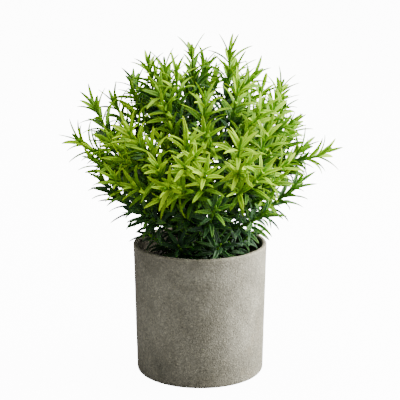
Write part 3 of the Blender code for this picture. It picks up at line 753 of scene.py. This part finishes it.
def pulp_material():
    m = Nodes("pot_pulp_cement")
    co = m.coords()
    blotch = m.noise(co, 22.0, 5.0, 0.6, distortion=0.4)
    stain = m.noise(co, 55.0, 4.0, 0.62)
    fibre = m.noise(co, 420.0, 5.0, 0.7, distortion=0.8)
    sand = m.noise(co, 1500.0, 3.0, 0.6)
    fleck = m.voronoi(co, 330.0)
    pits = m.voronoi(co, 210.0)
    z = m.new("ShaderNodeSeparateXYZ")
    m.put(z.inputs[0], co)
    height = z.outputs["Z"]
    colour = m.ramp(
        m.math("ADD", m.math("MULTIPLY", fibre, 0.6), m.math("MULTIPLY", stain, 0.4)),
        (0.30, (0.150, 0.138, 0.112)),
        (0.48, (0.245, 0.228, 0.190)),
        (0.60, (0.310, 0.290, 0.245)),
        (0.78, (0.420, 0.398, 0.345)),
    )
    colour = m.mix(m.span(blotch, 0.42, 0.62, 0.0, 0.42, True), colour, m.mix(1.0, colour, (0.62, 0.61, 0.58), "MULTIPLY"))
    colour = m.mix(m.span(fleck, 0.0, 0.16, 0.65, 0.0, True), colour, (0.50, 0.48, 0.42))
    colour = m.mix(m.span(pits, 0.0, 0.13, 0.6, 0.0, True), colour, (0.075, 0.068, 0.055))
    # the lip is paler, the inner wall just under it is painted into shade, and there is a darker damp band low down
    rim = m.span(height, POT_H - 2.2 * MM, POT_H - 0.4 * MM, 0.0, 0.75, True)
    colour = m.mix(rim, colour, m.mix(1.0, colour, (1.45, 1.43, 1.38), "MULTIPLY"))
    # painted shade: the inner wall just below the lip is darkened to about a third, as if in the shadow of the pot's
    # mouth
    flat = m.new("ShaderNodeVectorMath", operation="LENGTH")
    level = m.new("ShaderNodeCombineXYZ")
    m.put(level.inputs[0], z.outputs["X"])
    m.put(level.inputs[1], z.outputs["Y"])
    m.put(flat.inputs[0], level.outputs[0])
    painted_mouth_shade = m.math("MULTIPLY", m.span(flat.outputs["Value"], 41.0 * MM, 41.8 * MM, 1.0, 0.0, True),
                    m.span(height, POT_H - 2.5 * MM, POT_H - 0.8 * MM, 1.0, 0.0, True))
    colour = m.mix(m.math("MULTIPLY", painted_mouth_shade, 1.0), colour, m.mix(1.0, colour, (0.34, 0.33, 0.29), "MULTIPLY"))
    low = m.math("MULTIPLY", m.span(height, 5 * MM, 36 * MM, 1.0, 0.0, True), m.span(stain, 0.42, 0.60, 0.0, 0.55, True))
    colour = m.mix(low, colour, m.mix(1.0, colour, (0.66, 0.65, 0.62), "MULTIPLY"))
    grit = m.noise(co, 1050.0, 2.0, 0.6)
    coarse = m.noise(co, 520.0, 3.0, 0.65, distortion=0.5)
    colour = m.mix(m.span(grit, 0.52, 0.66, 0.0, 0.60, True), colour, m.mix(1.0, colour, (1.75, 1.74, 1.66), "MULTIPLY"))
    colour = m.mix(m.span(grit, 0.34, 0.47, 0.55, 0.0, True), colour, m.mix(1.0, colour, (0.55, 0.55, 0.54), "MULTIPLY"))
    colour = m.mix(m.span(coarse, 0.54, 0.68, 0.0, 0.45, True), colour, m.mix(1.0, colour, (1.45, 1.42, 1.32), "MULTIPLY"))
    # patchy bluish darkening low down, weighted to the -X side away from the key lamp, is painted shade; a patchy warm
    # tint weighted to the +X side that faces the key lamp is painted light
    shaded_side_patches = m.math("MULTIPLY", m.span(height, 4 * MM, 40 * MM, 1.0, 0.0, True), m.span(m.noise(co, 34.0, 4.0, 0.6, distortion=0.6), 0.45, 0.60, 0.0, 1.0, True))
    shaded_side_patches = m.math("MULTIPLY", shaded_side_patches, m.span(z.outputs["X"], -12 * MM, -30 * MM, 0.35, 1.0, True))
    colour = m.mix(m.math("MULTIPLY", shaded_side_patches, 0.62), colour, m.mix(1.0, colour, (0.50, 0.53, 0.56), "MULTIPLY"))
    # painted light: warm tint strongest on the +X side, which faces the key lamp
    lit_side_warmth = m.math("MULTIPLY", m.span(m.noise(co, 48.0, 3.0, 0.6), 0.56, 0.68, 0.0, 1.0, True), m.span(z.outputs["X"], 6 * MM, 30 * MM, 0.15, 1.0, True))
    colour = m.mix(m.math("MULTIPLY", lit_side_warmth, 0.30), colour, m.mix(1.0, colour, (1.12, 0.97, 0.82), "MULTIPLY"))
    colour = m.mix(1.0, colour, (0.97, 0.985, 0.925), "MULTIPLY")
    h = m.math("ADD", m.math("MULTIPLY", fibre, 0.40), m.math("MULTIPLY", sand, 0.25))
    h = m.math("ADD", h, m.math("MULTIPLY", grit, 0.8))
    h = m.math("SUBTRACT", h, m.span(pits, 0.0, 0.16, 0.55, 0.0, True))
    rough = m.span(sand, 0.3, 0.7, 0.86, 0.98)
    m.set(Base_Color=colour, Roughness=rough, Normal=m.bump(h, 0.75, 0.0007))
    m.b.inputs["Specular IOR Level"].default_value = 0.25
    return m.m


def soil_material():
    m = Nodes("soil_dressing")
    co = m.coords()
    a = m.noise(co, 260.0, 5.0, 0.7)
    b = m.voronoi(co, 520.0)
    colour = m.ramp(a, (0.3, (0.006, 0.005, 0.004)), (0.55, (0.022, 0.017, 0.012)), (0.75, (0.050, 0.040, 0.028)))
    m.set(Base_Color=colour, Roughness=m.span(b, 0.0, 0.6, 0.8, 0.97),
          Normal=m.bump(m.math("ADD", a, b), 0.9, 0.0012))
    return m.m


def foam_material():
    m = Nodes("floral_foam")
    co = m.coords()
    a = m.voronoi(co, 900.0)
    b = m.noise(co, 60.0, 4.0)
    colour = m.ramp(m.math("ADD", m.math("MULTIPLY", a, 0.6), m.math("MULTIPLY", b, 0.5)),
                    (0.2, (0.10, 0.15, 0.07)), (0.6, (0.22, 0.30, 0.15)), (0.9, (0.33, 0.42, 0.24)))
    m.set(Base_Color=colour, Roughness=m.span(b, 0.3, 0.7, 0.88, 1.0), Normal=m.bump(a, 0.8, 0.0006))
    return m.m


def stock_material():
    m = Nodes("stock_pe")
    co = m.coords()
    a = m.noise(co, 180.0, 4.0)
    b = m.noise(co, 1100.0, 2.0)
    colour = m.ramp(a, (0.3, (0.010, 0.034, 0.010)), (0.7, (0.024, 0.080, 0.020)))
    m.set(Base_Color=colour, Roughness=m.span(b, 0.3, 0.7, 0.36, 0.55), Normal=m.bump(b, 0.3, 0.0003))
    return m.m


LEAF = leaf_material()
PULP = pulp_material()
SOIL = soil_material()
FOAM = foam_material()
STOCK = stock_material()

# ------------------------------------------------------------------ foliage
total_leaves = 0
LINES = plant()
SHOOTS = {}
for index, (name, body, kind, line, tone, pegs) in enumerate(LINES):
    for s in np.arange(0.0, length(line), 1.6 * MM):
        CROWD.put(at(line, s)[0], 0.9 * MM, name, body)
for index, (name, body, kind, line, tone, pegs) in enumerate(LINES):
    SHOOTS[name] = shoots(kind, line, random.Random(300 + index), name, body)
    for k, branch in enumerate(SHOOTS[name]):
        for s in np.arange(2.0 * MM, length(branch), 1.6 * MM):
            CROWD.put(at(branch, s)[0], 0.7 * MM, name + str(k), body)
# the outer, front sprigs take their room first
order = sorted(range(len(LINES)), key=lambda i: (LINES[i][2] != "sprig", LINES[i][3][-1][1]))
for index in order:
    name, body, kind, line, tone, pegs = LINES[index]
    ob, count = build_line(name, body, kind, line, tone, [LEAF], index, SHOOTS[name])
    total_leaves += count
    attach(ob, body)
    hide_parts(name)
print("leaves", total_leaves)


# ------------------------------------------------------------------ pot
def wall_r(z):
    return POT_R_FOOT + (POT_R_TOP - POT_R_FOOT) * z / POT_H


def arc(r0, z0, radius, start, stop, n):
    return [(r0 + radius * math.cos(math.radians(a)), z0 + radius * math.sin(math.radians(a)))
            for a in np.linspace(start, stop, n)]


def turned(name, profile, sides, mat, uneven):
    """A turned shell closed at both ends on the axis, with the small unevenness of a moulded wall."""
    verts, faces, rows = [], [], []
    for r, z in profile:
        row = []
        for k in range(sides):
            a = 2 * math.pi * k / sides
            q = Vector((math.cos(a) * r, math.sin(a) * r, z))
            n = Vector((math.cos(a), math.sin(a), 0.0))
            dr, dz = uneven(q, r, z, a)
            row.append(len(verts))
            verts.append((q.x + n.x * dr, q.y + n.y * dr, q.z + dz))
        rows.append(row)
    for a_, b_ in zip(rows[:-1], rows[1:]):
        for j in range(sides):
            faces.append([a_[j], b_[j], b_[(j + 1) % sides], a_[(j + 1) % sides]])
    for row, z, flip in ((rows[0], profile[0][1], False), (rows[-1], profile[-1][1], True)):
        c = len(verts)
        verts.append((0.0, 0.0, z))
        for j in range(sides):
            tri = [row[j], row[(j + 1) % sides], c]
            faces.append(list(reversed(tri)) if flip else tri)
    me = bpy.data.meshes.new(name)
    me.from_pydata(verts, [], faces)
    me.validate()
    bm = bmesh.new()
    bm.from_mesh(me)
    bmesh.ops.recalc_face_normals(bm, faces=bm.faces)
    bm.to_mesh(me)
    bm.free()
    me.materials.append(mat)
    me.shade_smooth()
    ob = bpy.data.objects.new(name, me)
    bpy.context.scene.collection.objects.link(ob)
    return ob


def pot_uneven(q, r, z, a):
    if z < 0.3 * MM:
        return 0.0, 0.0
    fade = smooth(z / MM, 0.3, 4.0)
    big = noise.noise(q * 28.0) * 0.05 * MM
    mid = noise.noise(q * 130.0) * 0.055 * MM
    small = noise.noise(q * 520.0) * 0.04 * MM
    pit = max(0.0, noise.noise(q * 210.0 + Vector((7, 3, 1))) - 0.42) * 0.40 * MM
    lip = smooth(z / MM, 84.5, 87.5)
    chip = lip * (noise.noise(q * 75.0 + Vector((2, 9, 4))) * 0.28 * MM + noise.noise(q * 260.0) * 0.14 * MM)
    side = -1.0 if r < wall_r(z) - 1.4 * MM else 1.0
    return (big + mid + small - pit) * fade * side, chip - 0.12 * MM * lip


profile = [(r * MM, POT_FLOOR) for r in (6, 14, 22, 30)]
profile += [(wall_r(POT_FLOOR) - POT_WALL - 2.0 * MM, POT_FLOOR)]
profile += arc(wall_r(6 * MM) - POT_WALL - 2.0 * MM, POT_FLOOR + 2.0 * MM, 2.0 * MM, -60, 0, 5)
profile += [(wall_r(z * MM) - POT_WALL, z * MM) for z in np.linspace(8, 70, 14)]
profile += [(wall_r(z * MM) - POT_WALL, z * MM) for z in np.linspace(71.5, 86.0, 14)]
profile += arc(wall_r(POT_H) - POT_WALL + 1.1 * MM, POT_H - 1.1 * MM, 1.1 * MM, 180, 90, 7)
profile += arc(wall_r(POT_H) - 1.1 * MM, POT_H - 1.1 * MM, 1.1 * MM, 90, 0, 7)
profile += [(wall_r(z * MM), z * MM) for z in np.linspace(86.0, 3.4, 96)]
profile += arc(wall_r(FOOT_ROUND) - FOOT_ROUND, FOOT_ROUND, FOOT_ROUND, 0, -90, 9)
profile += [(r * MM, 0.0) for r in (34, 24, 12)]
pot = turned("pot_shell", profile, 288, PULP, pot_uneven)
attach(pot, "pot")
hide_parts("pot")


# ------------------------------------------------------------------ soil dressing
def soil():
    rng = random.Random(5)
    hole, out = PICK_R + 2.0 * MM, wall_r(FOAM_TOP) - POT_WALL - 0.5 * MM
    radii = np.linspace(hole, out, 30)
    sides = 150
    verts, faces, rows = [], [], []
    for layer in (1, 0):
        rr = radii if layer else radii[::-1]
        for r in rr:
            row = []
            for k in range(sides):
                a = 2 * math.pi * k / sides
                x, y = r * math.cos(a), r * math.sin(a)
                if layer:
                    q = Vector((x, y, 0.0))
                    edge = min(1.0, (out - r) / (2 * MM), (r - hole) / (2 * MM))
                    z = SOIL_TOP - 1.3 * MM + edge * (1.0 * MM * noise.noise(q * 130.0) + 0.9 * MM * noise.noise(q * 420.0) + 0.25 * MM)
                    z = min(z, SOIL_TOP + 0.5 * MM)
                else:
                    z = FOAM_TOP + GAP
                row.append(len(verts))
                verts.append((x, y, z))
            rows.append(row)
    rows.append(rows[0])
    for a_, b_ in zip(rows[:-1], rows[1:]):
        for j in range(sides):
            faces.append([a_[j], b_[j], b_[(j + 1) % sides], a_[(j + 1) % sides]])
    bm = bmesh.new()
    me = bpy.data.meshes.new("soil_dressing")
    me.from_pydata(verts, [], faces)
    bm.from_mesh(me)
    # loose crumbs of dressing
    for k in range(330):
        a, r = rng.uniform(0, 2 * math.pi), math.sqrt(rng.uniform(0.02, 0.93)) * out
        size = rng.uniform(0.5, 1.35) * MM
        if r < hole + 1.6 * MM:
            continue
        made = bmesh.ops.create_icosphere(bm, subdivisions=2, radius=size)
        off = Vector((rng.random() * 50, rng.random() * 50, 0))
        for v in made["verts"]:
            v.co *= 1.0 + 0.5 * noise.noise(v.co * 900.0 + off)
            v.co.z *= 0.72
            v.co += Vector((r * math.cos(a), r * math.sin(a), SOIL_TOP - 0.75 * MM))
    bmesh.ops.recalc_face_normals(bm, faces=bm.faces)
    bm.to_mesh(me)
    bm.free()
    me.materials.append(SOIL)
    me.shade_smooth()
    ob = bpy.data.objects.new("soil_dressing", me)
    bpy.context.scene.collection.objects.link(ob)
    return ob


dressing = soil()
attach(dressing, "pot")
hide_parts("soil_layer")

for node, mat in (("foam_block", FOAM), ("bush_stock", STOCK)):
    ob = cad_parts[node]
    ob.data.materials.clear()
    ob.data.materials.append(mat)


# ------------------------------------------------------------------ stage, light and camera
def floor():
    bm = bmesh.new()
    bmesh.ops.create_grid(bm, x_segments=4, y_segments=4, size=6.0)
    me = bpy.data.meshes.new("floor")
    bm.to_mesh(me)
    bm.free()
    m = Nodes("floor_white")
    m.set(Base_Color=(0.30, 0.30, 0.30, 1.0))
    m.b.inputs["Roughness"].default_value = 0.9
    m.b.inputs["Specular IOR Level"].default_value = 0.1
    # seen directly, the sweep is lit up like a studio's white table; it lights the object only as plain paper
    path = m.new("ShaderNodeLightPath")
    glow = m.new("ShaderNodeEmission")
    m.put(glow.inputs["Strength"], m.math("MULTIPLY", path.outputs["Is Camera Ray"], 12.4))
    both = m.new("ShaderNodeAddShader")
    m.put(both.inputs[0], m.b.outputs[0])
    m.put(both.inputs[1], glow.outputs[0])
    m.put(m.out.inputs["Surface"], both.outputs[0])
    me.materials.append(m.m)
    ob = bpy.data.objects.new("floor", me)
    ob.location = (0, 0, -0.0002)
    bpy.context.scene.collection.objects.link(ob)


floor()
world = bpy.data.worlds.new("studio")
bpy.context.scene.world = world
world.use_nodes = True
background = next(n for n in world.node_tree.nodes if n.type == "BACKGROUND")
background.inputs["Color"].default_value = (1.0, 1.0, 1.0, 1.0)
rays = world.node_tree.nodes.new("ShaderNodeLightPath")
seen = world.node_tree.nodes.new("ShaderNodeMapRange")
seen.inputs["To Min"].default_value = 0.31
seen.inputs["To Max"].default_value = 13.0
world.node_tree.links.new(rays.outputs["Is Camera Ray"], seen.inputs["Value"])
world.node_tree.links.new(seen.outputs["Result"], background.inputs["Strength"])


def area(name, place, aim, size, power, colour=(1, 1, 1)):
    d = bpy.data.lights.new(name, "AREA")
    d.shape, d.size, d.size_y = "RECTANGLE", size[0], size[1]
    d.energy, d.color = power, colour
    ob = bpy.data.objects.new(name, d)
    ob.location = place
    ob.rotation_euler = (Vector(aim) - Vector(place)).to_track_quat("-Z", "Y").to_euler()
    bpy.context.scene.collection.objects.link(ob)


area("key", (1.20, 0.16, 0.50), (0, 0, 0.11), (0.9, 1.0), 94.0, (1.0, 0.99, 0.97))
area("top", (-0.05, 0.02, 1.35), (0, 0, 0.14), (0.7, 0.7), 34.0)

cam = bpy.data.cameras.new("camera")
cam.sensor_width = 36.0
cam.lens = 1543.7 / 400.0 * 36.0
cam.clip_start, cam.clip_end = 0.05, 50.0
eye = bpy.data.objects.new("camera", cam)
eye.location = (0.0, -0.98274, 0.3626)
eye.rotation_euler = (math.radians(90.0 - 14.0776), 0.0, 0.0)
bpy.context.scene.collection.objects.link(eye)
bpy.context.scene.camera = eye
